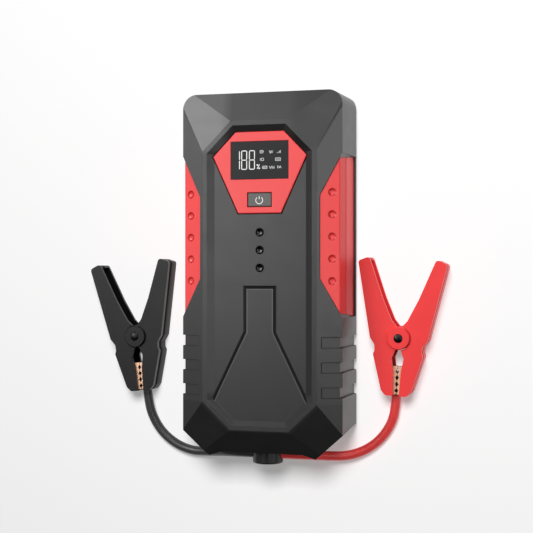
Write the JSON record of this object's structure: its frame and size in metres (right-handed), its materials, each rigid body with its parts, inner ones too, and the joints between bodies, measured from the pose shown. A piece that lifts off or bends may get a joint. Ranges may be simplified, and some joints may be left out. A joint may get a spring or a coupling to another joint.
{
  "type": "jump starter pack",
  "caption": "Faceted pocket battery pack with a display, power button, side grips and a short pull-out lead that carries a sprung black and a sprung red battery clamp.",
  "frame": {"origin": "on the floor under the middle of the case, which lies on its back", "axes": "+Z out of the display face, +Y towards the display end, +X to the right of someone who reads the display"},
  "size_m": [0.1979, 0.1944, 0.035],
  "materials": {
    "black_shell": "fine satin moulded texture",
    "red_grip": "satin moulded",
    "red_bezel": "satin moulded",
    "dark_window": "smooth tinted window",
    "dark_module": "display module",
    "grey_button": "satin moulded",
    "black_lens": "glossy moulded",
    "pale_led": "led",
    "green_board": "solder mask",
    "dark_component": "moulded package",
    "metal_can": "satin",
    "port_steel": "satin",
    "clear_lens": "clear",
    "bright_reflector": "polished",
    "grey_foam": "foam",
    "cell_foil": "foil",
    "copper": "drawn copper",
    "blue_socket": "moulded",
    "gold_contact": "plated",
    "dark_steel": "blackened",
    "spring_steel": "spring wire",
    "black_plug": "moulded",
    "black_cable": "smooth insulation",
    "red_cable": "smooth insulation",
    "black_clamp": "satin moulded",
    "red_clamp": "satin moulded"
  },
  "bodies": {
    "case": {"front_shell": "black_shell", "rear_shell": "black_shell", "side_grip_left": "red_grip", "side_grip_right": "red_grip", "display_bezel": "red_bezel", "display_window": "dark_window", "display_module": "dark_module", "button_switch": "dark_component", "indicator_lens_1": "black_lens", "indicator_lens_2": "black_lens", "indicator_lens_3": "black_lens", "indicator_lights": "pale_led", "main_board": "green_board", "power_transistors": "dark_component", "boost_inductor": "dark_component", "filter_capacitors": "metal_can", "usb_a_port": "port_steel", "usb_c_port": "port_steel", "torch_lens": "clear_lens", "torch_reflector": "bright_reflector", "torch_led": "pale_led", "foam_pad": "grey_foam", "battery_cell_1": "cell_foil", "battery_cell_2": "cell_foil", "battery_cell_3": "cell_foil", "cell_tabs": "metal_can", "copper_bar_positive": "copper", "copper_bar_negative": "copper", "jump_socket": "blue_socket", "socket_pins": "gold_contact", "case_screws": "dark_steel"},
    "button": {"power_button": "grey_button"},
    "lead": {"lead_plug": "black_plug", "plug_contacts": "gold_contact", "black_cord": "black_cable", "red_cord": "red_cable", "black_fixed_arm": "black_clamp", "black_fixed_jaw": "copper", "black_ferrule": "copper", "black_rivet": "dark_steel", "black_spring": "spring_steel", "red_fixed_arm": "red_clamp", "red_fixed_jaw": "copper", "red_ferrule": "copper", "red_rivet": "dark_steel", "red_spring": "spring_steel"},
    "black_clamp_arm": {"black_moving_arm": "black_clamp", "black_moving_jaw": "copper"},
    "red_clamp_arm": {"red_moving_arm": "red_clamp", "red_moving_jaw": "copper"}
  },
  "joints": [
    {"name": "button_press", "type": "slide", "parent": "case", "child": "button", "axis": [0, 0, -1], "range_m": [0, 0.0007], "stiffness_N_per_m": 500},
    {"name": "lead_pull", "type": "slide", "parent": "case", "child": "lead", "axis": [0, -1, 0], "range_m": [0, 0.016]},
    {"name": "black_clamp_open", "type": "hinge", "parent": "lead", "child": "black_clamp_arm", "pos_m": [-0.0775, -0.034, 0.0063], "axis": [0, 0, -1], "range_deg": [0, 26], "stiffness_Nm_per_rad": 0.2, "springref_deg": -11.46},
    {"name": "red_clamp_open", "type": "hinge", "parent": "lead", "child": "red_clamp_arm", "pos_m": [0.0688, -0.0328, 0.0063], "axis": [0, 0, 1], "range_deg": [0, 26], "stiffness_Nm_per_rad": 0.2, "springref_deg": -11.46}
  ]
}
